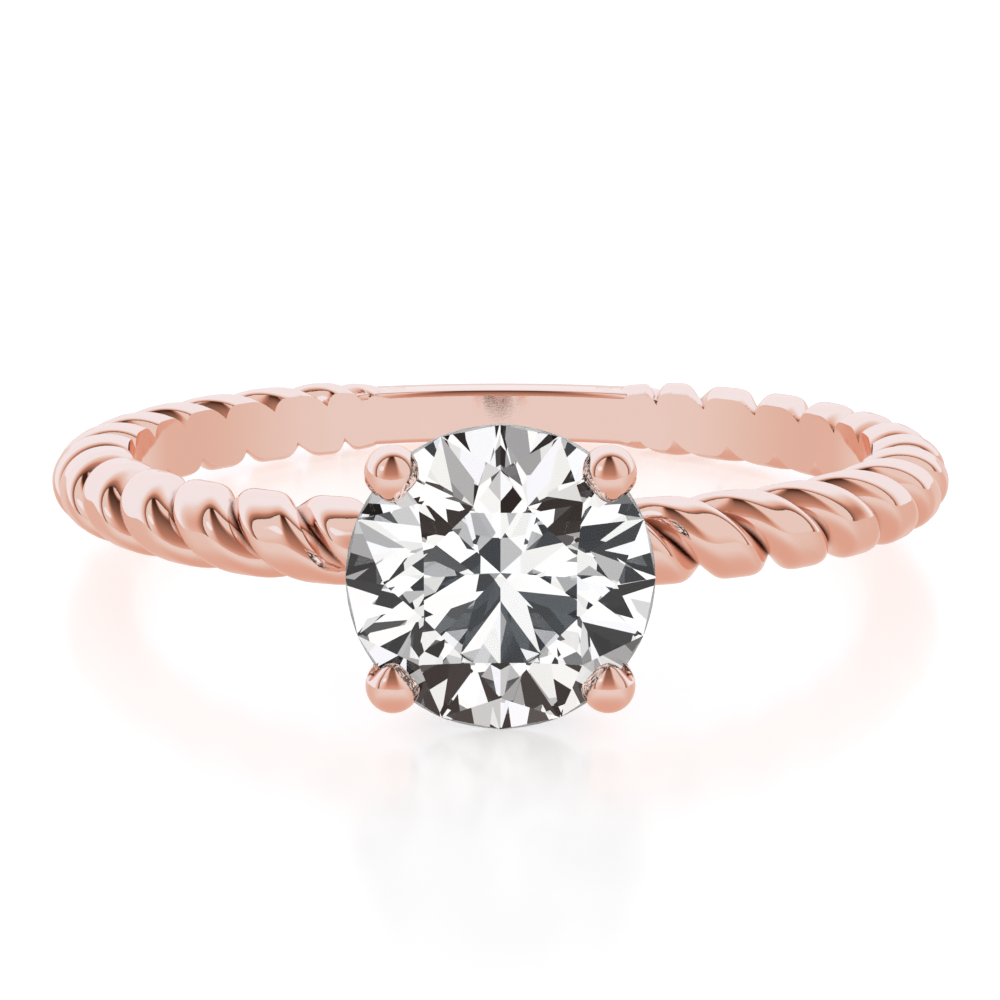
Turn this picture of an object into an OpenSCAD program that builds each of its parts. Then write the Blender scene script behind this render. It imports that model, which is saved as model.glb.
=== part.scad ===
// Twisted shank ring: a two-strand rope shank with a plain back, and a
// four-claw head that holds one round brilliant.
// The origin is the centre of the finger hole. The ring lies on its side as
// it rests by itself: on the girdle of the stone, towards -Y, and on the rope
// beside the plain back, so its axis leans a little off +Z.

/* [Finger hole] */
// Diameter of the finger hole
bore_d = 16.5; // [14:0.1:22]

/* [Rope shank] */
// Width of the rope along the axis of the ring
rope_w = 1.76; // [1.5:0.02:2.4]
// Thickness of the rope from the finger hole to its outermost crest
rope_t = 1.67; // [1.5:0.01:2.4]
// Distance from the finger hole to the line that the strands twist about
rope_mid = 0.62; // [0.5:0.01:0.75]
// Strand crests that a whole turn of the rope would have
rope_crests = 33.1; // [25:0.1:37]
// Distance of a strand's own centre from the line that it twists about
strand_offset = 0.355; // [0.25:0.005:0.45]
// Width of one strand across the twist
strand_w = 1.38; // [1.2:0.02:1.6]
// Share of the groove's depth that is left where it meets the finger hole
groove_keep = 0.6; // [0.5:0.01:0.9]

/* [Plain back] */
// Width of the plain back along the axis of the ring
back_w = 1.28; // [1.1:0.02:1.6]
// Thickness of the plain back
back_t = 1.33; // [1.1:0.01:1.6]
// Angle that the plain back takes to either side of the middle
back_half_angle = 23; // [16:1:40]
// Radius of the rounding on the outer edges of the plain back
back_round = 0.2; // [0.1:0.05:0.4]
// Angle over which the last crests of the rope run out into the plain back
rope_runout = 21; // [9:0.5:24]

/* [Stone] */
// Diameter of the stone
stone_d = 5.88; // [4.6:0.02:6.6]
// Distance from the outermost crest of the rope to the middle of the girdle
girdle_rise = 2.12; // [1.98:0.02:3.5]
// Thickness of the girdle where it is thinnest
girdle_t = 0.12; // [0.08:0.01:0.2]
// Distance across the corners of the table
table_d = 3.1; // [2.8:0.02:3.4]
// Height of the crown from the girdle to the table
crown_h = 0.96; // [0.7:0.01:1.1]
// Depth of the pavilion from the girdle to the point
pavilion_h = 2.53; // [2.2:0.01:2.6]
// How far the star facets reach from the table towards the girdle
star_share = 0.5; // [0.4:0.01:0.6]
// How far the lower girdle facets reach from the girdle towards the point
lower_share = 0.77; // [0.7:0.01:0.85]

/* [Head] */
// Diameter of a claw where it passes the girdle
claw_d = 1.04; // [0.8:0.02:1.2]
// Diameter of a claw at its foot
claw_foot_d = 0.8; // [0.6:0.02:1]
// How far the middle of a claw stands inside the edge of the stone
claw_inset = 0.05; // [0:0.01:0.2]
// How far the middle of a claw's tip rises above the middle of the girdle
claw_rise = 0.56; // [0.5:0.01:0.64]
// How far a claw's tip folds over the stone, along the axis of the ring
claw_fold = 0.48; // [0.3:0.01:0.6]
// Diameter of the wire of the gallery rail
rail_wire_d = 0.6; // [0.5:0.02:0.8]
// Distance of the gallery rail below the girdle
rail_drop = 1.2; // [1:0.05:1.5]
// Distance from the middle of the foot collar to the axis of the stone
collar_r = 1.15; // [1:0.05:1.4]
// Diameter of the wire of the foot collar
collar_wire_d = 0.7; // [0.5:0.05:0.9]
// Gap between the stone and the metal of its seat
seat_gap = 0.03; // [0.01:0.01:0.1]

/* [Hidden] */

// Round surfaces are drawn with this many steps
$fn = 96;
// Overlap that keeps one cut or joined face clear of another
margin = 0.1;

bore_r = bore_d / 2;
rope_r = rope_w / 2;
mid_r = bore_r + rope_mid;
crest_r = bore_r + rope_t;
// The rope's round outline is stretched outwards to the crest, and inwards
// past the finger hole, which cuts it
radial_stretch = (crest_r - mid_r) / rope_r;
inward_stretch = 1.2;
strand_long = rope_r - strand_offset;
strand_half_w = strand_w / 2;
strands = 2;
twist_per_degree = rope_crests / strands;
// The plain back tapers into the grooves of the rope, and the rope's crests
// sink into the plain back
taper_angle = rope_runout / 3;
runout_start = 180 - back_half_angle - taper_angle;
runout_end = runout_start + rope_runout;
hidden_angle = 2;
rope_end = runout_end + hidden_angle;
// The strands are twisted tighter by this share where they run out, and the
// change is spread over a few degrees
end_tightening = 0.65;
tightening_spread = 2;
// What ends inside the plain back takes this share of its outline, and the
// plain back tapers to the smaller share in the grooves of the rope
hidden_share = 0.97;
taper_share = 0.5;
taper_steps = 8;
hidden_r = hidden_share * min(back_w / 2, (back_t - rope_mid) / radial_stretch);
steps_per_crest = 9;
ring_steps = round(rope_crests * steps_per_crest * rope_end / 180);
// Angles from a strand's crest, where its outline is taken; -90 is the groove
strand_angles = [-90, -72, -52, -27, 0, 27, 52, 72];
strand_points = len(strand_angles);
section_points = strands * strand_points;

stone_r = stone_d / 2;
girdle_h = crest_r + girdle_rise;

// The ring leans until the stone and the rope touch one level surface
rest_y = mid_r * cos(180 - runout_start);
lean = atan((stone_r - rope_r) / (girdle_h + rest_y));

table_r = table_d / 2;
girdle_top = girdle_t / 2;
table_z = girdle_top + crown_h;
point_z = -girdle_top - pavilion_h;
facet_step = 45;
half_step = facet_step / 2;
crown_slope = crown_h / (stone_r - table_r);
pavilion_slope = pavilion_h / stone_r;
table_flat_r = table_r * cos(half_step);
star_r = table_flat_r + star_share * (stone_r - table_flat_r);
star_z = table_z - (star_r * cos(half_step) - table_r) * crown_slope;
lower_r = (1 - lower_share) * stone_r;
lower_z = point_z + lower_r * cos(half_step) * pavilion_slope;
// Facets run past the girdle and are trimmed to it by a round blank
facet_reach = 1.06;
kite_tip = 0.995;

claw_r = claw_d / 2;
claw_out = (stone_r - claw_inset) / sqrt(2);
rail_z = girdle_h - rail_drop;
collar_z = crest_r - collar_wire_d / 4;

function smooth(t) = let (u = min(1, max(0, t))) u * u * (3 - 2 * u);
function mix(a, b, t) = a + (b - a) * t;
function polar(r, angle, z) = [r * cos(angle), r * sin(angle), z];

// Distance from the twist line to the outside of a strand, at an angle from
// its crest: a ray from the twist line meets the strand's oval
function strand_reach(angle) =
    let (
        along = cos(angle) / strand_long,
        across = sin(angle) / strand_half_w,
        a = along * along + across * across,
        b = along * strand_offset / strand_long,
        c = pow(strand_offset / strand_long, 2) - 1
    ) (b + sqrt(b * b - a * c)) / a;

// A groove is shallower on the side of the finger hole: all of its depth is
// left while it faces outwards, and the least once it faces halfway inwards
function groove_share(facing) =
    let (turned = abs((facing % 360 + 540) % 360 - 180))
    mix(1, groove_keep, smooth((turned - 90) / 45));

// Share of the way from the rope's outline to the round end that is hidden
// inside the plain back
function runout(around) = smooth((abs(around) - runout_start) / rope_runout);

// How far the strands have turned at an angle round the ring. A groove faces
// outwards in the middle of the front
function strand_turn(around) =
    let (past = abs(around) - runout_start)
    90 + sign(around) * twist_per_degree
        * (abs(around) + end_tightening * (past + norm([past, tightening_spread])) / 2);

// One point of the rope. around is the angle about the ring from the stone,
// off is the angle from the crest of the strand
function rope_point(around, strand, off) =
    let (
        facing = off + 360 / strands * strand - strand_turn(around),
        reach = rope_r - (rope_r - strand_reach(off)) * groove_share(facing),
        size = mix(reach, hidden_r, runout(around)),
        stretch = cos(facing) > 0 ? radial_stretch : inward_stretch,
        out = mid_r + size * cos(facing) * stretch,
        up = size * sin(facing)
    ) [out * sin(around), -out * cos(around), up];

function rope_section(around) = [
    for (strand = [0 : strands - 1], off = strand_angles)
        rope_point(around, strand, off)
];

// Side faces between sections of equally many points, and the two end faces
function tube_faces(sections, points) = concat(
    [
        for (i = [0 : sections - 2], j = [0 : points - 1])
            let (k = (j + 1) % points)
            [i * points + j, i * points + k, (i + 1) * points + k, (i + 1) * points + j]
    ],
    [[for (j = [points - 1 : -1 : 0]) j]],
    [[for (j = [0 : points - 1]) (sections - 1) * points + j]]
);

module rope() {
    points = [
        for (i = [0 : ring_steps])
            each rope_section(mix(-rope_end, rope_end, i / ring_steps))
    ];
    polyhedron(points, tube_faces(ring_steps + 1, section_points));
}

// Outline of the plain back, with the part outside the twist line shrunk to a
// share, as [distance from the ring's axis, height]
function back_outline(share) =
    let (
        half_w = share * back_w / 2,
        outer = mid_r + share * (back_t - rope_mid),
        soft = share * back_round,
        corner = soft * (1 - cos(45))
    ) [
        [outer, half_w - soft],
        [outer - corner, half_w - corner],
        [outer - soft, half_w],
        [bore_r - margin, half_w],
        [bore_r - margin, -half_w],
        [outer - soft, -half_w],
        [outer - corner, corner - half_w],
        [outer, soft - half_w]
    ];

function taper(around) =
    let (done = min(1, (around - runout_start) / taper_angle))
    mix(taper_share, hidden_share, sin(90 * done));

module back_taper() {
    full = 180 - back_half_angle + hidden_angle;
    points = [
        for (i = [0 : taper_steps])
            let (around = mix(runout_start, full, i / taper_steps))
            for (p = back_outline(taper(around)))
                [p[0] * sin(around), -p[0] * cos(around), p[1]]
    ];
    polyhedron(points, tube_faces(taper_steps + 1, len(back_outline(1))));
}

module plain_back() {
    inner = bore_r - margin;
    for (side = [0, 1])
        mirror([side, 0, 0])
            back_taper();
    rotate([0, 0, 90 - back_half_angle])
        rotate_extrude(angle = 2 * back_half_angle)
            translate([inner, -back_w / 2])
                union() {
                    square([bore_r + back_t - back_round - inner, back_w]);
                    translate([0, back_round])
                        square([bore_r + back_t - inner, back_w - 2 * back_round]);
                    for (side = [back_round, back_w - back_round])
                        translate([bore_r + back_t - back_round - inner, side])
                            circle(r = back_round, $fn = 32);
                }
}

// The head is drawn with the axis of the stone along +Z, measured from the
// centre of the finger hole, and turned to face -Y
module facing_front() {
    rotate([90, 0, 0])
        children();
}

// Columns: place outwards as a share of claw_out, the same along the axis of
// the ring, height as a share of the way from foot to girdle, and thickness as
// a share of the way from the foot's diameter to the full one
claw_stem = [
    [0.40, 0.26, 0.00, 0.00],
    [0.47, 0.40, 0.28, 0.10],
    [0.62, 0.60, 0.52, 0.25],
    [0.81, 0.80, 0.76, 0.60],
    [0.95, 0.95, 0.93, 0.90],
    [1.00, 1.00, 1.03, 1.00]
];
// Columns: fold over the stone as a share of claw_fold, height as a share of
// claw_rise, and thickness as a share of claw_r
claw_tip = [
    [0.00, 0.50, 1.00],
    [0.12, 0.78, 0.97],
    [0.38, 0.92, 0.78],
    [0.70, 0.97, 0.52],
    [1.00, 1.00, 0.24]
];

claw_foot_z = mid_r + margin;
claw_sides = 12;

// Each station of a claw as [x, y, z, radius]
claw_stations = concat(
    [
        for (s = claw_stem)
            [
                s[0] * claw_out,
                s[1] * claw_out,
                mix(claw_foot_z, girdle_h, s[2]),
                mix(claw_foot_d, claw_d, s[3]) / 2
            ]
    ],
    [
        for (s = claw_tip)
            [
                claw_out,
                claw_out - s[0] * claw_fold,
                girdle_h + s[1] * claw_rise,
                s[2] * claw_r
            ]
    ]
);

function place(s) = [s[0], s[1], s[2]];
function unit(v) = v / norm(v);

// A ring of points round station i, square to the way the claw runs there
function claw_ring(i) =
    let (
        last = len(claw_stations) - 1,
        before = place(claw_stations[max(0, i - 1)]),
        after = place(claw_stations[min(last, i + 1)]),
        run = unit(after - before),
        side = unit(cross([0, 1, 0], run)),
        front = cross(run, side),
        s = claw_stations[i]
    ) [
        for (j = [0 : claw_sides - 1])
            let (turn = 360 * j / claw_sides)
            place(s) + s[3] * (cos(turn) * side + sin(turn) * front)
    ];

function turned_over(face) = [for (k = [len(face) - 1 : -1 : 0]) face[k]];

module claw() {
    count = len(claw_stations);
    points = [for (i = [0 : count - 1]) each claw_ring(i)];
    polyhedron(points, [for (face = tube_faces(count, claw_sides)) turned_over(face)]);
}

module wire_ring(radius, wire_d) {
    rotate_extrude()
        translate([radius, 0])
            circle(d = wire_d, $fn = 48);
}

// The widest claw spacing at the rail's height sets the rail's radius
rail_share = (rail_z - claw_foot_z) / (girdle_h - claw_foot_z);
rail_r = norm([
    lookup(rail_share, [for (s = claw_stem) [s[2], s[0]]]),
    lookup(rail_share, [for (s = claw_stem) [s[2], s[1]]])
]) * claw_out;

module head() {
    for (x = [0, 1], y = [0, 1])
        mirror([x, 0, 0])
            mirror([0, y, 0])
                claw();
    translate([0, 0, rail_z])
        wire_ring(rail_r, rail_wire_d);
    translate([0, 0, collar_z])
        wire_ring(collar_r, collar_wire_d);
}

// Room for the stone: its outline all round, larger by the seat's gap, and
// deeper still under its point
module stone_room() {
    wide = seat_gap;
    translate([0, 0, girdle_h])
        rotate_extrude()
            polygon([
                [0, point_z - 4 * wide],
                [lower_r + wide, lower_z - wide],
                [stone_r + wide, -girdle_top - wide],
                [stone_r + wide, girdle_top + wide],
                [star_r + wide, star_z + wide],
                [table_r + wide, table_z + wide],
                [0, table_z + wide]
            ]);
}

module shank_and_head() {
    color("lightpink")
        rotate([-lean, 0, 0])
            difference() {
                union() {
                    rope();
                    plain_back();
                    facing_front()
                        head();
                }
                cylinder(r = bore_r, h = 4 * rope_w, center = true, $fn = 180);
                facing_front()
                    stone_room();
            }
}

// Height at x, y of the plane through three points
function plane_z(p, q, r, x, y) =
    let (n = cross(q - p, r - p))
    p[2] - (n[0] * (x - p[0]) + n[1] * (y - p[1])) / n[2];

// Table, star, kite and upper girdle facets, which run out past the girdle
// and close in a flat bottom below the stone
module crown_facets() {
    floor_z = point_z - 1;
    out = stone_r * facet_reach;
    tip_r = stone_r * kite_tip;
    tip_z = table_z - (tip_r - table_r) * crown_slope;
    out_z = mix(star_z, girdle_top, (out - star_r) / (stone_r - star_r));
    star = polar(star_r, 0, star_z);
    tip = polar(tip_r, half_step, tip_z);
    edge = polar(out, 0, out_z);
    tip_out = polar(out, half_step, 0);
    tip_out_z = plane_z(star, tip, edge, tip_out[0], tip_out[1]);
    turns = 360 / facet_step;
    // Rings of points: table, star, kite tip, and the outer edge, high and low
    points = concat(
        [for (i = [0 : turns - 1]) polar(table_r, (i + 0.5) * facet_step, table_z)],
        [for (i = [0 : turns - 1]) polar(star_r, i * facet_step, star_z)],
        [for (i = [0 : turns - 1]) polar(tip_r, (i + 0.5) * facet_step, tip_z)],
        [for (i = [0 : turns - 1]) polar(out, i * facet_step, out_z)],
        [for (i = [0 : turns - 1]) polar(out, (i + 0.5) * facet_step, tip_out_z)],
        [for (i = [0 : turns - 1]) polar(out, i * facet_step, floor_z)],
        [for (i = [0 : turns - 1]) polar(out, (i + 0.5) * facet_step, floor_z)]
    );
    t = 0;
    s = turns;
    k = 2 * turns;
    e = 3 * turns;
    o = 4 * turns;
    fe = 5 * turns;
    fo = 6 * turns;
    faces = concat(
        [[for (i = [turns - 1 : -1 : 0]) t + i]],
        [for (i = [0 : turns - 1]) let (h = (i + turns - 1) % turns) [t + h, t + i, s + i]],
        [for (i = [0 : turns - 1]) let (n = (i + 1) % turns) [t + i, s + n, k + i, s + i]],
        [for (i = [0 : turns - 1]) [s + i, k + i, o + i, e + i]],
        [for (i = [0 : turns - 1]) let (n = (i + 1) % turns) [s + n, e + n, o + i, k + i]],
        [for (i = [0 : turns - 1]) [e + i, o + i, fo + i, fe + i]],
        [for (i = [0 : turns - 1]) let (n = (i + 1) % turns) [o + i, e + n, fe + n, fo + i]],
        [[for (i = [0 : turns - 1]) each [fe + i, fo + i]]]
    );
    polyhedron(points, faces);
}

// Pavilion mains and lower girdle facets, upside down: the point is up, and
// they run out past the girdle and close in a flat face beyond the table
module pavilion_facets() {
    depth = -point_z;
    low_depth = -lower_z;
    far = -table_z - 1;
    out = stone_r * facet_reach;
    tip_r = stone_r * kite_tip;
    tip_z = depth - tip_r * pavilion_slope;
    out_z = mix(low_depth, girdle_top, (out - lower_r) / (stone_r - lower_r));
    low = polar(lower_r, 0, low_depth);
    tip = polar(tip_r, half_step, tip_z);
    edge = polar(out, 0, out_z);
    tip_out = polar(out, half_step, 0);
    tip_out_z = plane_z(low, tip, edge, tip_out[0], tip_out[1]);
    turns = 360 / facet_step;
    points = concat(
        [[0, 0, depth]],
        [for (i = [0 : turns - 1]) polar(lower_r, i * facet_step, low_depth)],
        [for (i = [0 : turns - 1]) polar(tip_r, (i + 0.5) * facet_step, tip_z)],
        [for (i = [0 : turns - 1]) polar(out, i * facet_step, out_z)],
        [for (i = [0 : turns - 1]) polar(out, (i + 0.5) * facet_step, tip_out_z)],
        [for (i = [0 : turns - 1]) polar(out, i * facet_step, far)],
        [for (i = [0 : turns - 1]) polar(out, (i + 0.5) * facet_step, far)]
    );
    s = 1;
    k = 1 + turns;
    e = 1 + 2 * turns;
    o = 1 + 3 * turns;
    fe = 1 + 4 * turns;
    fo = 1 + 5 * turns;
    faces = concat(
        [for (i = [0 : turns - 1]) let (n = (i + 1) % turns) [0, s + n, k + i, s + i]],
        [for (i = [0 : turns - 1]) [s + i, k + i, o + i, e + i]],
        [for (i = [0 : turns - 1]) let (n = (i + 1) % turns) [s + n, e + n, o + i, k + i]],
        [for (i = [0 : turns - 1]) [e + i, o + i, fo + i, fe + i]],
        [for (i = [0 : turns - 1]) let (n = (i + 1) % turns) [o + i, e + n, fe + n, fo + i]],
        [[for (i = [0 : turns - 1]) each [fe + i, fo + i]]]
    );
    polyhedron(points, faces);
}

module round_stone() {
    color("whitesmoke")
        rotate([-lean, 0, 0])
            facing_front()
                translate([0, 0, girdle_h])
                    intersection() {
                        translate([0, 0, point_z - margin])
                            cylinder(r = stone_r, h = table_z - point_z + 2 * margin);
                        crown_facets();
                        mirror([0, 0, 1])
                            pavilion_facets();
                    }
}

shank_and_head();
round_stone();
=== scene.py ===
# %% [markdown]
# # A twisted shank ring with a round brilliant
# The ring is a finger ring of polished rose gold. Two strands are twisted
# into a rope that goes most of the way round the finger hole, a plain band
# closes it at the back, and a four-claw head holds one round stone.
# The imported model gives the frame, so every piece is built in metres, in the
# same place as its solid, and only its surface gets finer.

import math

import bmesh
import bpy
import numpy as np
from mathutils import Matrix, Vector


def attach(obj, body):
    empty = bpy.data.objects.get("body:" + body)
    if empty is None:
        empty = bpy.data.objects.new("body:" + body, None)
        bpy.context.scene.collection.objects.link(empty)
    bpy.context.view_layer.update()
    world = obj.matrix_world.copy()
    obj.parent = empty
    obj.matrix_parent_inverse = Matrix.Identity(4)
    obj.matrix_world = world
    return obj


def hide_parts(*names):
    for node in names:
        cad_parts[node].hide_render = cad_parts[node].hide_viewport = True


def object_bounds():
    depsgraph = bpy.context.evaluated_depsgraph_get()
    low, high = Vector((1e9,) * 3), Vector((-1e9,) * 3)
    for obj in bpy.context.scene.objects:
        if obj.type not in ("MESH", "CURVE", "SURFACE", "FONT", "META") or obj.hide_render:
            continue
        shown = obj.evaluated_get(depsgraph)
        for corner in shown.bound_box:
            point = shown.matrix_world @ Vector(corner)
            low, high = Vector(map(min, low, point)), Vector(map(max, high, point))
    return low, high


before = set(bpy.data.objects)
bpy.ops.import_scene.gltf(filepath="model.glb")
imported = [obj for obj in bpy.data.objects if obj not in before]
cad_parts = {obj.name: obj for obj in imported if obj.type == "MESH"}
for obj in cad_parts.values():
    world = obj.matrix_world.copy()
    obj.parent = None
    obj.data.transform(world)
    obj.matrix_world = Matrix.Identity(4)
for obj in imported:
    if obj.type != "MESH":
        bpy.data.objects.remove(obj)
cad_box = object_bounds()
MM = 0.001
print("nodes:", sorted(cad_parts))
print("box of the solids, mm:", [[round(v / MM, 2) for v in corner] for corner in cad_box])

# %% [markdown]
# ## Sizes
# The sizes are the ring's own, in millimetres, as a goldsmith would note
# them. All shapes below follow from these few numbers, so the dressed ring
# stays on its solid when one of them is read wrongly and put right. A name
# that ends in _r is a radius, and the angles here are in degrees.

# %% Sizes of the rope
bore_r = 16.5 / 2
rope_r = 1.76 / 2
rope_mid = 0.62
rope_thick = 1.67
mid_r = bore_r + rope_mid
crest_r = bore_r + rope_thick
strand_offset = 0.355
strand_long = rope_r - strand_offset
strand_half_w = 1.38 / 2
groove_keep = 0.6
groove_fade = 45.0
outward_stretch = (crest_r - mid_r) / rope_r
inward_stretch = 1.2
twist_per_degree = 33.1 / 2
print("the rope's crests are", round(2 * crest_r, 2), "mm across the ring")

# %% Sizes of the plain back and of the rope's ends in it
back_half_w = 1.28 / 2
back_t = 1.33
back_round = 0.2
back_end_share = 0.5
inner_ease = 0.14
back_half_angle = 23.0
runout = 21.0
taper_angle = runout / 3
runout_start = 180 - back_half_angle - taper_angle
rope_end = runout_start + runout + 2
end_tightening, tightening_spread = 0.65, 2.0
hidden_share = 0.97
hidden_r = hidden_share * min(back_half_w, (back_t - rope_mid) / outward_stretch)
print("the rope's round end is", round(2 * hidden_r, 2), "mm thick, inside the plain back")

# %% [markdown]
# ## How the ring lies
# On its side the ring rests on the stone's edge in front and on the rope
# near the plain back. The stone is wider than the rope, so the whole ring
# leans back by the angle of the line through those two places. The lean is
# in radians, as the sines and cosines below take it.

# %% Stone size and lean
stone_r = 5.88 / 2
girdle_h = 12.04
rest_back = mid_r * math.cos(math.radians(180 - runout_start))
lean = math.atan((stone_r - rope_r) / (girdle_h + rest_back))
print("the ring leans", round(math.degrees(lean), 2), "degrees")

# %% [markdown]
# ## Small tools for meshes
# A ring is all swept forms: a section carried along a path. So one helper
# turns a grid of points, section by section, into a closed tube with end
# caps, and another turns lists of points and faces into a solid. Both make
# sure that the faces look outwards, because the later cuts rely on it.


# %% Mesh helpers
def make_object(name, points, faces):
    """An object from points in millimetres."""
    mesh = bpy.data.meshes.new(name)
    mesh.from_pydata([tuple(float(v) * MM for v in p) for p in points], [], faces)
    mesh.validate()
    mesh.update()
    piece = bpy.data.objects.new(name, mesh)
    bpy.context.scene.collection.objects.link(piece)
    return piece


def volume_of(points, faces):
    """Volume inside a closed mesh, negative where its faces look inwards."""
    total = 0.0
    for f in faces:
        a = points[f[0]]
        for b, c in zip(f[1:-1], f[2:]):
            total += float(np.dot(a, np.cross(points[b], points[c]))) / 6
    return total


def solid(name, points, faces):
    """A closed object with its faces outwards."""
    volume = volume_of(points, faces)
    if volume < 0:
        faces = [tuple(reversed(f)) for f in faces]
    print(name, len(points), "points,", round(abs(volume), 2), "mm3")
    return make_object(name, points, faces)


def grid_faces(sections, around, closed):
    """Quads between sections of points; closed joins the last section to the first."""
    faces = []
    for i in range(sections if closed else sections - 1):
        n = (i + 1) % sections
        for j in range(around):
            k = (j + 1) % around
            faces.append((i * around + j, i * around + k, n * around + k, n * around + j))
    if not closed:
        faces.append(tuple(reversed(range(around))))
        faces.append(tuple((sections - 1) * around + j for j in range(around)))
    return faces


def tube(name, grid, closed=False):
    """A solid from a grid of points with shape (sections, points, 3)."""
    sections, around = grid.shape[:2]
    return solid(name, grid.reshape(-1, 3), grid_faces(sections, around, closed))


print("a tube of 3 sections of 4 points has", len(grid_faces(3, 4, closed=False)), "faces")

# %% [markdown]
# ## The rope shank
# Two wires twisted together show a crest where each strand is outermost and
# a sharp groove where they meet. Winding two real tubes would leave a seam
# inside the metal, so the rope is one skin: the outline of the pair of
# strands, turned a little further at each step round the finger hole.
# Towards the back the outline shrinks to a round end inside the plain band.


# %% Rope section
def smooth(t):
    """A step from 0 to 1 that starts and ends gently."""
    u = np.clip(t, 0, 1)
    return u * u * (3 - 2 * u)


def mix(a, b, t):
    """a where t is 0, b where t is 1."""
    return a + (b - a) * t


def strand_reach(off):
    """Distance from the twist line to a strand's outside, at an angle from its crest."""
    along = np.cos(np.radians(off)) / strand_long
    across = np.sin(np.radians(off)) / strand_half_w
    a = along**2 + across**2
    b = along * strand_offset / strand_long
    c = (strand_offset / strand_long) ** 2 - 1
    return (b + np.sqrt(b * b - a * c)) / a


def strand_turn(around):
    """How far the strands have turned at an angle round the ring."""
    past = np.abs(around) - runout_start
    extra = end_tightening * (past + np.hypot(past, tightening_spread)) / 2
    return 90 + np.sign(around) * twist_per_degree * (np.abs(around) + extra)


print("the groove is", round(float(rope_r - strand_reach(90.0)), 2), "mm deep")


# %% Rope skin
def place_round(out, up, around):
    """A point from its distance to the ring's axis, its height and its angle from the stone."""
    turn = np.radians(around)
    return np.stack([out * np.sin(turn), -out * np.cos(turn), up + 0 * turn], axis=-1)


def rope_skin(sections, per_strand):
    """The rope's points: its grooves are shallower where they face the finger hole."""
    around = np.linspace(-rope_end, rope_end, sections)[:, None]
    off = np.linspace(-90, 90, per_strand, endpoint=False)
    off = np.concatenate([off, off + 180])[None, :]
    from_crest = (off + 90) % 180 - 90
    facing = off - strand_turn(around)
    turned = np.abs((facing + 180) % 360 - 180)
    groove = mix(1, groove_keep, smooth((turned - 90) / groove_fade))
    reach = rope_r - (rope_r - strand_reach(from_crest)) * groove
    size = mix(reach, hidden_r, smooth((np.abs(around) - runout_start) / runout))
    stretch = np.where(np.cos(np.radians(facing)) > 0, outward_stretch, inward_stretch)
    out = mid_r + size * np.cos(np.radians(facing)) * stretch
    up = size * np.sin(np.radians(facing))
    return place_round(out, up, around + 0 * out)


rope = tube("rope", rope_skin(sections=921, per_strand=27))

# %% [markdown]
# ## The plain back
# Opposite the stone the shank is a plain band, the place where a ring is cut
# and joined when it is made larger. Its outer edges are softened and its
# inner edges eased for comfort, both in the outline itself. Each end narrows
# into the last grooves of the rope, so the band is swept with an outline
# that shrinks towards its ends.


# %% Plain back
def back_outline(share, corner_steps=8):
    """The band's outline as distances and heights, its outer part shrunk to a share."""
    half_w = share * back_half_w
    outer = mid_r + share * (back_t - rope_mid)
    soft = share * back_round
    turn = np.radians(np.linspace(0, 90, corner_steps + 1))
    top_out = outer - soft + soft * np.cos(turn)
    top_up = half_w - soft + soft * np.sin(turn)
    eased_out = bore_r + inner_ease * (1 - np.sin(turn))
    eased_up = half_w - inner_ease * (1 - np.cos(turn))
    left_to_ream = 0.1
    out = np.concatenate([top_out, eased_out, [bore_r - left_to_ream]])
    up = np.concatenate([top_up, eased_up, [eased_up[-1]]])
    return np.concatenate([out, out[::-1]]), np.concatenate([up, -up[::-1]])


def plain_back(sections):
    """The band's points, from one end to the other."""
    ends = 180 - runout_start
    rows = []
    for past in np.linspace(-ends, ends, sections):
        done = min(1.0, (ends - abs(past)) / taper_angle)
        share = mix(back_end_share, 1.0, math.sin(math.radians(90 * done)))
        out, up = back_outline(share)
        rows.append(place_round(out, up, np.full(len(out), 180.0 + past)))
    return np.array(rows)


back = tube("back", plain_back(sections=181))

# %% [markdown]
# ## The claws
# Four claws stand on the shank, lean outwards to the stone, pass its edge
# and fold over it with a tapering tip. A caster files such a claw from a
# round wire, so each is a round section carried along a smooth line through
# a few stations. One claw is drawn and mirrored to the other three places.

# %% Claw stations
claw_r = 1.04 / 2
claw_foot_r = 0.8 / 2
claw_inset = 0.05
claw_out = (stone_r - claw_inset) / math.sqrt(2)
foot_over_mid = 0.1
claw_foot_z = mid_r + foot_over_mid
claw_rise = 0.56
claw_fold = 0.48
least_r = 0.004
# Place outwards and along the ring's axis as shares of claw_out, height as a
# share of the way from foot to girdle, thickness from the foot's to the full
claw_stem = [
    (0.40, 0.26, 0.00, 0.00),
    (0.47, 0.40, 0.28, 0.10),
    (0.62, 0.60, 0.52, 0.25),
    (0.81, 0.80, 0.76, 0.60),
    (0.95, 0.95, 0.93, 0.90),
    (1.00, 1.00, 1.03, 1.00),
]
# Fold over the stone, height and thickness as shares of their own sizes
claw_tip = [
    (0.00, 0.50, 1.00),
    (0.12, 0.78, 0.97),
    (0.38, 0.92, 0.78),
    (0.70, 0.97, 0.52),
    (0.94, 1.00, 0.28),
    (1.06, 1.01, 0.02),
]
print("a claw goes through", len(claw_stem) + len(claw_tip), "stations")


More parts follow.
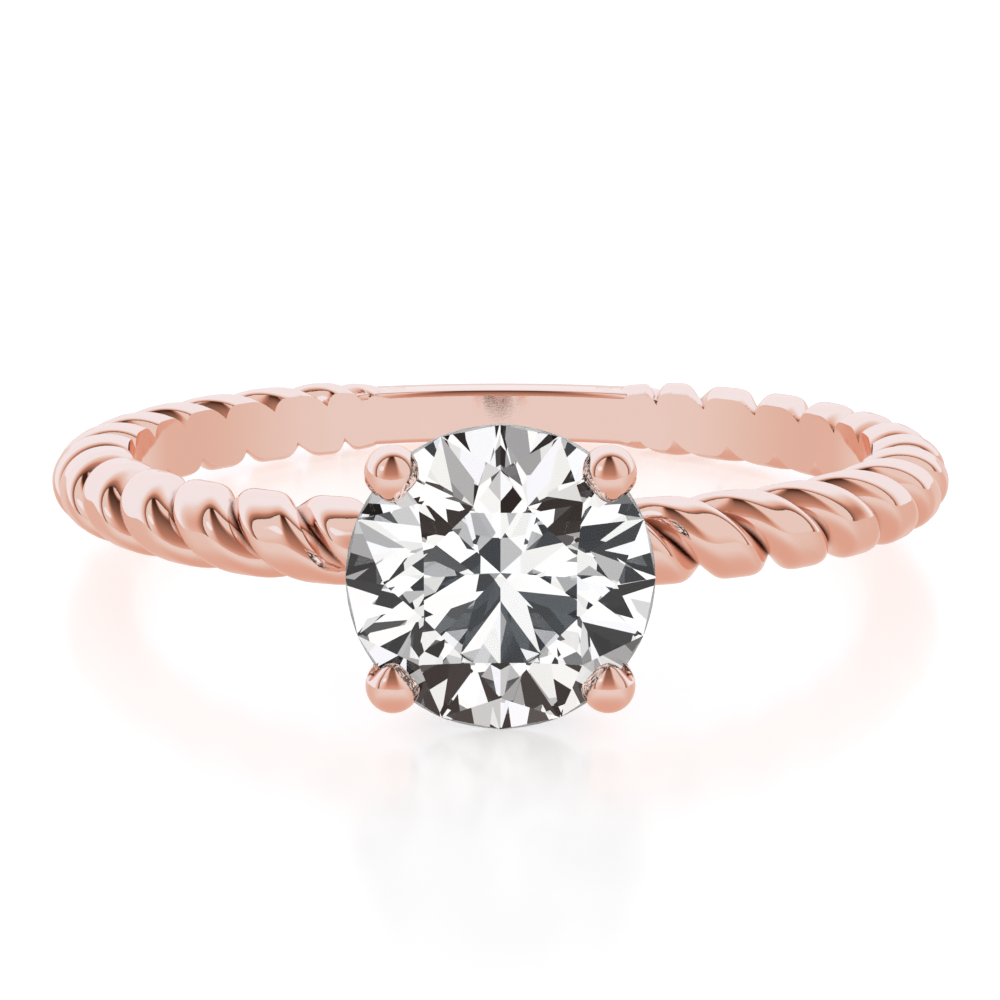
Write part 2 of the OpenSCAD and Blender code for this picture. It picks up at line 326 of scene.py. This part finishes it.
# %% Smooth line through stations
def smooth_line(stations, count, fine_steps=24):
    """Points on a smooth curve through the stations, evenly spaced by length."""
    s = np.array(stations, float)
    s = np.vstack([2 * s[0] - s[1], s, 2 * s[-1] - s[-2]])
    fine = []
    for i in range(1, len(s) - 2):
        p0, p1, p2, p3 = s[i - 1 : i + 3]
        slope = p2 - p0
        bend = 2 * p0 - 5 * p1 + 4 * p2 - p3
        change = 3 * p1 - p0 - 3 * p2 + p3
        for u in np.linspace(0, 1, fine_steps, endpoint=False):
            fine.append(0.5 * (2 * p1 + slope * u + bend * u**2 + change * u**3))
    fine = np.array(fine + [s[-2]])
    step = np.linalg.norm(np.diff(fine, axis=0), axis=1)
    run = np.concatenate([[0], np.cumsum(step)])
    even = np.linspace(0, run[-1], count)
    return np.stack([np.interp(even, run, fine[:, k]) for k in range(fine.shape[1])], axis=1)


def head_to_ring(p):
    """The head is drawn with the stone's axis upwards; here it turns to face the front."""
    return np.stack([p[..., 0], -p[..., 2], p[..., 1]], axis=-1)


# %% Claws
def claw(name, side_x, side_y, sides=48, count=72):
    """A claw in one quarter of the head; side_x and side_y are -1 or 1."""
    stations = []
    for out, along, up, thick in claw_stem:
        height = mix(claw_foot_z, girdle_h, up)
        stations.append((out * claw_out, along * claw_out, height, mix(claw_foot_r, claw_r, thick)))
    for fold, up, thick in claw_tip:
        height = girdle_h + up * claw_rise
        stations.append((claw_out, claw_out - fold * claw_fold, height, thick * claw_r))
    line = smooth_line(stations, count)
    centre, radius = line[:, :3], np.maximum(line[:, 3], least_r)
    run = np.gradient(centre, axis=0)
    run /= np.linalg.norm(run, axis=1)[:, None]
    across = np.cross([0.0, 1.0, 0.0], run)
    across /= np.linalg.norm(across, axis=1)[:, None]
    front = np.cross(run, across)
    turn = np.linspace(0, 2 * math.pi, sides, endpoint=False)
    rings = centre[:, None] + radius[:, None, None] * (
        np.cos(turn)[None, :, None] * across[:, None] + np.sin(turn)[None, :, None] * front[:, None]
    )
    return tube(name, head_to_ring(rings * np.array([side_x, side_y, 1.0])))


claws = []
for hand, side_x in (("left", -1), ("right", 1)):
    for level, side_y in (("upper", 1), ("lower", -1)):
        claws.append(claw(f"claw_{hand}_{level}", side_x, side_y))

# %% [markdown]
# ## Gallery rail and foot collar
# A round wire, the gallery rail, joins the claws below the stone, and a
# second one, the foot collar, ties them where they stand on the shank. Both
# are rings of wire. The rail follows the claws: its radius is read from the
# claw's stations at the rail's height, so it meets all four.

# %% Gallery rail and foot collar
rail_wire_r = 0.3
rail_drop = 1.2
rail_z = girdle_h - rail_drop
collar_r = 1.15
collar_wire_r = 0.35
collar_z = crest_r - collar_wire_r / 2


def wire_ring(name, radius, wire_r, height, steps=128, sides=32):
    """A ring of round wire about the stone's axis."""
    a = np.linspace(0, 2 * math.pi, steps, endpoint=False)[:, None]
    t = np.linspace(0, 2 * math.pi, sides, endpoint=False)[None, :]
    out = radius + wire_r * np.cos(t)
    up = height + wire_r * np.sin(t) + 0 * a
    points = np.stack([out * np.cos(a), out * np.sin(a), up], axis=-1)
    return tube(name, head_to_ring(points), closed=True)


def stem_radius(height):
    """Distance of a claw's middle from the stone's axis at a height."""
    share = (height - claw_foot_z) / (girdle_h - claw_foot_z)
    outs, alongs, heights, _ = zip(*claw_stem)
    return claw_out * math.hypot(np.interp(share, heights, outs), np.interp(share, heights, alongs))


rail = wire_ring("rail", stem_radius(rail_z), rail_wire_r, rail_z)
collar = wire_ring("collar", collar_r, collar_wire_r, collar_z)

# %% [markdown]
# ## Solder and drill
# On the bench the parts are soldered into one, and the finger hole is reamed
# smooth. The mesh is made in the same order with booleans: one union, then
# a cut by a cylinder, which leaves the flat scallops inside the rope.


# %% Fuse the metal
def fuse(piece, other, operation):
    """Unites, or cuts, piece with other and removes other."""
    modifier = piece.modifiers.new("fuse", "BOOLEAN")
    modifier.operation = operation
    modifier.solver = "MANIFOLD"
    modifier.object = other
    bpy.context.view_layer.update()
    graph = bpy.context.evaluated_depsgraph_get()
    mesh = bpy.data.meshes.new_from_object(piece.evaluated_get(graph))
    piece.modifiers.clear()
    old = piece.data
    piece.data = mesh
    bpy.data.meshes.remove(old)
    bpy.data.objects.remove(other)
    print(operation.lower(), "leaves", len(mesh.polygons), "faces")


metal = rope
metal.name = "twisted_shank_and_head"
for part in [back, *claws, rail, collar]:
    fuse(metal, part, "UNION")


# %% Ream the finger hole
def turned(profile, steps):
    """Points and faces of a turned solid about +Z, from a profile of (radius, height) pairs
    that starts and ends on the axis."""
    turn = np.linspace(0, 2 * math.pi, steps, endpoint=False)[:, None]
    out, up = np.array(profile[1:-1]).T
    grid = np.stack([out * np.cos(turn), out * np.sin(turn), up + 0 * turn], axis=-1)
    tips = [[0, 0, profile[0][1]], [0, 0, profile[-1][1]]]
    points = np.vstack([grid.reshape(-1, 3), tips])
    foot, top, m = len(points) - 2, len(points) - 1, len(out)
    faces = []
    for i in range(steps):
        k = (i + 1) % steps
        faces += [(i * m + j, k * m + j, k * m + j + 1, i * m + j + 1) for j in range(m - 1)]
        faces.append((foot, k * m, i * m))
        faces.append((top, i * m + m - 1, k * m + m - 1))
    return points, faces


reamer_half = 3
bands = (0.1, 0.3, 0.49, 0.9, reamer_half)
heights = [-h for h in reversed(bands)] + list(bands)
reamer = [(0, -reamer_half)] + [(bore_r, h) for h in heights] + [(0, reamer_half)]
fuse(metal, solid("reamer", *turned(reamer, 720)), "DIFFERENCE")

# %% [markdown]
# ## The seat
# A setter cuts a seat into the claws so that the stone rests in them. The
# seat is a turned form round the stone, larger by a small gap: down its
# lower facets, over the girdle and up its star facets to the table. A facet
# is flat, so between two corners it lies closer to the axis, by the cosine
# of half the angle between them.

# %% Cut the seat
table_r, crown_h, pavilion_h, girdle_top = 3.1 / 2, 0.96, 2.53, 0.06
lower_share, star_share = 0.77, 0.5
flat = math.cos(math.radians(360 / 8 / 2))
table_z, point_z = girdle_top + crown_h, -girdle_top - pavilion_h
lower_r = (1 - lower_share) * stone_r
lower_z = point_z + lower_r * flat * pavilion_h / stone_r
star_r = table_r * flat + star_share * (stone_r - table_r * flat)
star_z = table_z - (star_r * flat - table_r) * crown_h / (stone_r - table_r)
gap = 0.03
seat = [
    (0, point_z - 4 * gap),
    (lower_r + gap, lower_z - gap),
    (stone_r + gap, -girdle_top - gap),
    (stone_r + gap, girdle_top + gap),
    (star_r + gap, star_z + gap),
    (table_r + gap, table_z + gap),
    (0, table_z + gap),
]
points, faces = turned([(r, h + girdle_h) for r, h in seat], 256)
fuse(metal, solid("seat_cutter", head_to_ring(points), faces), "DIFFERENCE")

# %% [markdown]
# ## Clean the seams
# Where many forms cross, the cuts leave a few edges shorter than a grain of
# dust. Points that close are merged, as polishing would do it, and the mesh
# must still be closed afterwards: every edge has just two faces.

# %% Merge what is closer than a fifth of a micron
dust = 2e-4 * MM
shape = bmesh.new()
shape.from_mesh(metal.data)
bmesh.ops.remove_doubles(shape, verts=shape.verts[:], dist=dust)
bmesh.ops.dissolve_degenerate(shape, edges=shape.edges[:], dist=dust)
print("open edges:", sum(len(e.link_faces) != 2 for e in shape.edges))
shape.to_mesh(metal.data)
shape.free()

# %% [markdown]
# ## Lay the ring down
# The metal is drawn upright, with the finger hole's axis straight up. It is
# leaned here by turning its points, because its object has to stay at the
# origin. The shading is smooth up to the edges that are really sharp, such
# as the finger hole's, which catch a clean line of light.


# %% Lean and shade the metal
def settle(piece, sharp_from=35):
    """Leans the piece as the ring lies, and shades it smooth up to its sharp edges."""
    mesh = piece.data
    co = np.zeros(len(mesh.vertices) * 3)
    mesh.vertices.foreach_get("co", co)
    co = co.reshape(-1, 3)
    y, z = co[:, 1].copy(), co[:, 2].copy()
    co[:, 1] = y * math.cos(lean) + z * math.sin(lean)
    co[:, 2] = z * math.cos(lean) - y * math.sin(lean)
    mesh.vertices.foreach_set("co", co.ravel())
    mesh.shade_smooth()
    mesh.set_sharp_from_angle(angle=math.radians(sharp_from))
    mesh.update()


settle(metal)
triangles = sum(len(p.vertices) - 2 for p in metal.data.polygons)
print("metal:", len(metal.data.polygons), "faces,", triangles, "triangles")

# %% [markdown]
# ## Writing materials as sums
# A material is a small net of nodes. Written as plain Python sums it can be
# read like a recipe, so a wrapped socket answers to +, - and *, and one
# method makes every other kind of node.


# %% Shader sums
class Socket:
    """One output socket of a node tree, with arithmetic."""

    def __init__(self, tree, out):
        self.tree, self.out = tree, out

    def node(self, kind, settings=None, values=None, out=0):
        """A node of a kind: its settings first, then its sockets' values or links."""
        made = self.tree.nodes.new(kind)
        for key, value in (settings or {}).items():
            if key == "stops":
                ramp = made.color_ramp
                while len(ramp.elements) < len(value):
                    ramp.elements.new(1.0)
                for element, (at, colour) in zip(ramp.elements, value):
                    element.position = at
                    element.color = (*colour, 1.0)
            else:
                setattr(made, key, value)
        for key, value in (values or {}).items():
            if isinstance(value, Socket):
                self.tree.links.new(value.out, made.inputs[key])
            else:
                made.inputs[key].default_value = value
        return Socket(self.tree, made.outputs[out])

    def other(self, out):
        """Another output of the same node."""
        return Socket(self.tree, self.out.node.outputs[out])

    def feed(self, shader, name):
        """Links the socket to an input of a shader."""
        self.tree.links.new(self.out, shader.inputs[name])

    def maths(self, operation, a, b=0.0):
        """A Math node on two values."""
        return self.node("ShaderNodeMath", {"operation": operation}, {0: a, 1: b})

    def dot(self, place, way):
        """How far a place lies along a way."""
        settings = {"operation": "DOT_PRODUCT"}
        return self.node("ShaderNodeVectorMath", settings, {0: place, 1: way}, out="Value")

    def between(self, low, high, curve="SMOOTHSTEP"):
        """0 below low, 1 above high, with a gentle step between them."""
        values = {"Value": self, "From Min": low, "From Max": high}
        return self.node("ShaderNodeMapRange", {"interpolation_type": curve}, values)

    def blend(self, a, b):
        """Colour a where the socket is 0 and colour b where it is 1."""
        values = {"Factor": self, "A": a, "B": b}
        return self.node("ShaderNodeMix", {"data_type": "RGBA"}, values, out=2)

    def __add__(self, other):
        return self.maths("ADD", self, other)

    def __sub__(self, other):
        return self.maths("SUBTRACT", self, other)

    def __rsub__(self, other):
        return self.maths("SUBTRACT", other, self)

    def __mul__(self, other):
        return self.maths("MULTIPLY", self, other)

    __radd__ = __add__
    __rmul__ = __mul__


# %% Material helpers
def material(name):
    """A new material, its tree's starting socket and its Principled shader."""
    made = bpy.data.materials.new(name)
    made.use_nodes = True
    shader = made.node_tree.nodes["Principled BSDF"]
    return made, Socket(made.node_tree, None), shader


def dress(piece, finish):
    """Gives a piece one material and says how many nodes it has."""
    piece.data.materials.clear()
    piece.data.materials.append(finish)
    print(piece.name, "gets", finish.name, "with", len(finish.node_tree.nodes), "nodes")


# %% [markdown]
# ## Polished rose gold
# Rose gold is gold with copper. It is a bare metal, so its colour is the
# colour of its reflections. A polished ring still carries hairlines from the
# buffing wheel and a faint unevenness from the hand, which break up the
# reflections a little; both come from noise at their real scale.

# %% Rose gold
gold_material, gold, gold_shader = material("polished_rose_gold")
place = gold.node("ShaderNodeTexCoord", out="Object")
cloudy = gold.node("ShaderNodeTexNoise", {}, {"Vector": place, "Scale": 900.0, "Detail": 2.0})
drawn_out = gold.node("ShaderNodeMapping", {}, {"Vector": place, "Scale": (1.0, 1.0, 6.0)})
hairlines = gold.node(
    "ShaderNodeTexNoise", {}, {"Vector": drawn_out, "Scale": 9000.0, "Detail": 3.0}
)
polished = cloudy.blend((0.92, 0.70, 0.62, 1), (0.94, 0.725, 0.65, 1))
roughness = 0.02 + 0.02 * cloudy + 0.015 * hairlines
scratched = {"Strength": 0.02, "Distance": 0.02 * MM, "Height": hairlines}
bump = gold.node("ShaderNodeBump", {}, scratched)
print("the polish takes", len(gold_material.node_tree.nodes), "nodes")

# %% [markdown]
# ## Painted shade in the deep grooves
# Little light reaches the bottom of a groove between two strands, so the shade
# there is painted into the metal's colour as a dark brown. An ambient
# occlusion node measures how open each point is, and darkens the closed ones.

# %% Painted shade in the grooves
groove_reach = 0.6 * MM
closed_in, open_enough = 0.24, 0.58
painted_groove_shade = (0.1, 0.035, 0.02, 1)
open_air = gold.node(
    "ShaderNodeAmbientOcclusion",
    {"samples": 8, "only_local": True},
    {"Distance": groove_reach},
    out="AO",
)
# painted shade: the colour turns dark brown where the groove is closed in
colour = open_air.between(closed_in, open_enough).blend(painted_groove_shade, polished)
colour.feed(gold_shader, "Base Color")
roughness.feed(gold_shader, "Roughness")
bump.feed(gold_shader, "Normal")
gold_shader.inputs["Metallic"].default_value = 1.0
gold_shader.inputs["Specular Tint"].default_value = (1.0, 0.9, 0.86, 1)
dress(metal, gold_material)
metal.visible_transmission = False

# %% [markdown]
# ## The stone
# The solid already has every facet of a round brilliant, flat and sharp, so
# it is kept and only gets its finish. Such a stone bends light far more than
# window glass does, so nearly all the light that enters comes back out of
# the top. Only the girdle, the thin rim between the two halves, is ground
# and not polished. It is found by its height along the stone's axis and left
# rough, which shows as a fine frosted line.

# %% Clear stone
stone_material, stone, stone_shader = material("clear_brilliant")
in_place = stone.node("ShaderNodeTexCoord", out="Object")
stone_axis = (0, -math.cos(lean), math.sin(lean))
off_girdle = stone.maths("ABSOLUTE", stone.dot(in_place, stone_axis) - girdle_h * MM)
rim = girdle_top * MM
ground = 0.35
frosted = ground - ground * off_girdle.between(0.9 * rim, 1.03 * rim)
frosted.feed(stone_shader, "Roughness")
stone_shader.inputs["Base Color"].default_value = (1, 1, 1, 1)
stone_shader.inputs["IOR"].default_value = 2.42
stone_shader.inputs["Specular Tint"].default_value = (0.26, 0.31, 0.35, 1)
stone_shader.inputs["Transmission Weight"].default_value = 1.0
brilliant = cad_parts["round_stone"]
dress(brilliant, stone_material)

# %% [markdown]
# ## A white table
# The ring lies on its side on a white table that is lit so brightly that it
# shows next to no shadow, which a little glow copies. The metal and the
# stone mirror a table of their own, drawn with the room below, so this one
# is hidden from their mirrored rays.

# %% Table
floor_z = cad_box[0][2] / MM
table_half = 400.0
corners = [(-1, -1), (1, -1), (1, 1), (-1, 1)]
floor_points = [(x * table_half, y * table_half, floor_z) for x, y in corners]
floor = make_object("floor", floor_points, [(0, 1, 2, 3)])
floor_material, _, floor_shader = material("white_table")
floor_shader.inputs["Base Color"].default_value = (0.95, 0.95, 0.95, 1)
floor_shader.inputs["Roughness"].default_value = 0.22
floor_shader.inputs["Specular IOR Level"].default_value = 0.8
floor_shader.inputs["Emission Color"].default_value = (1, 1, 1, 1)
floor_shader.inputs["Emission Strength"].default_value = 0.46
dress(floor, floor_material)
floor.visible_glossy = False
floor.visible_transmission = False

# %% [markdown]
# ## The room that the metal mirrors
# Polished metal shows nothing but the room, so a photographer sets white and
# dark cards round it. Here the room is a sum of soft tones by direction,
# from 0, dark, to 1, white. A white ceiling comes down behind and beside the
# ring and darkens towards a sharp edge. In front stands a pale wall with a
# dark cone up its middle, and a small lamp stands on the left.

# %% Directions
world = bpy.data.worlds.new("studio")
world.use_nodes = True
bpy.context.scene.world = world
air = Socket(world.node_tree, None)
direction = air.node("ShaderNodeTexCoord", out="Generated")


def cosine(degrees):
    """Nearness at an angle from a direction."""
    return math.cos(math.radians(degrees))


def nearness(turn, up):
    """1 in the direction that is turned right of the front and up, and less the further off."""
    turn, up = math.radians(turn), math.radians(up)
    front = math.cos(up)
    return air.dot(direction, (math.sin(turn) * front, -math.cos(turn) * front, math.sin(up)))


side = air.node("ShaderNodeSeparateXYZ", {}, {0: direction})
back_way, height = side.other("Y"), side.other("Z")
# 0 at the horizon in front of the ring, 0.5 overhead, 1 at the horizon behind it
turned_up = air.maths("ARCTAN2", height, back_way * -1.0) * (1 / math.pi)
print("the directions take", len(world.node_tree.nodes), "nodes")

# %% Front wall and ceiling
wall_tone = 0.85
cone_tone = 0.6 - 1.1 * turned_up
cone_width = air.maths("DIVIDE", air.maths("ABSOLUTE", side), 1.2 - 1.75 * turned_up)
front_tone = cone_tone + cone_width.between(0.4, 1.0) * (wall_tone - cone_tone)
in_front = nearness(12, 24)
edge, edge_blur, fade_length, fade_power = cosine(80), 0.004, 0.55, 2.4
darkening = in_front.between(edge - fade_length, edge, curve="LINEAR")
ceiling_tone = 1.0 - air.maths("POWER", darkening, fade_power)
this_side = in_front.between(edge - edge_blur, edge + edge_blur)
tone = ceiling_tone + this_side * (front_tone - ceiling_tone)
print("with wall and ceiling:", len(world.node_tree.nodes), "nodes")

# %% [markdown]
# ## The table in the mirror
# Under the horizon the metal mirrors the table. It is pale far away, and
# darker right under the ring and beside it, where the ring shades it. The
# lamp comes last, as it outshines whatever is behind it.

# %% Mirrored table and lamp
far_tone, shade_under, shade_beside = 0.87, 0.27, 0.19
down = height * -1.0
under_ring = down.between(0.2, 1.0)
beside_ring = back_way.between(-0.7, 0.4) - back_way.between(0.6, 0.95)
shade = air.maths("MAXIMUM", shade_under * under_ring, shade_beside * beside_ring)
tone = tone + down.between(-edge_blur, edge_blur) * (far_tone - shade - tone)
lamp = nearness(-60, 40).between(cosine(16), cosine(8))
tone = air.maths("MAXIMUM", tone, lamp)
print("with table and lamp:", len(world.node_tree.nodes), "nodes")

# %% [markdown]
# ## Colours of the room
# One ramp turns tone into colour. The darks are brown, as they are in the
# folds of gold, and the whites are cool, because the warm metal turns a cool
# white into a plain one.

# %% Ramp from tone to colour
room_stops = [
    (0.0, (0.05, 0.025, 0.015)),
    (0.25, (0.35, 0.19, 0.14)),
    (0.45, (0.55, 0.28, 0.20)),
    (0.60, (0.78, 0.50, 0.41)),
    (0.75, (0.83, 0.69, 0.63)),
    (0.88, (0.88, 0.83, 0.82)),
    (1.0, (0.96, 1.08, 1.20)),
]
seen_by_metal = tone.node("ShaderNodeValToRGB", {"stops": room_stops}, {"Fac": tone})
print("the metal's room has", len(room_stops), "colours")

# %% [markdown]
# ## What the stone sees
# A brilliant breaks the room into many small bright and dark patches. The
# rays that pass through the stone see a room of panes: a cell pattern cuts
# the directions into many-sided panes, and a ramp makes most of them white,
# some grey and the rest nearly black. The soft light on the table is plain
# grey.

# %% Panes for the stone, and the light in its place
pane_stops = [
    (0.0, (0.01, 0.01, 0.01)),
    (0.26, (0.03, 0.03, 0.03)),
    (0.34, (0.12, 0.12, 0.12)),
    (0.42, (0.42, 0.42, 0.43)),
    (0.50, (0.75, 0.76, 0.77)),
    (0.62, (0.95, 0.96, 0.95)),
    (0.88, (1.15, 1.15, 1.15)),
    (1.0, (0.95, 0.98, 1.06)),
]
cells = air.node("ShaderNodeTexVoronoi", {}, {"Vector": direction, "Scale": 5.0}, out="Color")
pane = air.node("ShaderNodeSeparateXYZ", {}, {0: cells})
seen_through_stone = pane.node("ShaderNodeValToRGB", {"stops": pane_stops}, {"Fac": pane})
ray = air.node("ShaderNodeLightPath", out="Is Transmission Ray")
light = ray.blend(seen_by_metal, seen_through_stone)
light = ray.other("Is Diffuse Ray").blend(light, (0.5, 0.5, 0.5, 1))
light.feed(world.node_tree.nodes["Background"], "Color")
print("the room's light has", len(world.node_tree.nodes), "nodes")

# %% [markdown]
# ## Camera
# The picture is taken from near by with a narrow view, a little above the
# ring, so the front of the ring is clearly larger than its back. The camera
# aims at the middle of the finger hole and the frame is shifted down a
# little, as a view camera would do it.

# %% Camera
camera = bpy.data.cameras.new("camera")
camera_object = bpy.data.objects.new("camera", camera)
bpy.context.scene.collection.objects.link(camera_object)
bpy.context.scene.camera = camera_object
camera_far = 80.0 * MM
above_ring = 9.6
camera_up = math.radians(above_ring) + lean
camera_object.location = (0, -camera_far * math.cos(camera_up), camera_far * math.sin(camera_up))
camera_object.rotation_euler = (math.radians(90) - camera_up, 0, 0)
camera.sensor_width = 36
camera.lens = 129.17
camera.shift_x = -0.0005
camera.shift_y = -0.0282
camera.clip_start = MM
bpy.context.scene.view_settings.view_transform = "Standard"
print("the camera looks down", round(math.degrees(camera_up), 1), "degrees")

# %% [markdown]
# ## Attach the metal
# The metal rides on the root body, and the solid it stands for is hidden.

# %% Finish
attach(metal, "root")
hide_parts("shank_and_head")
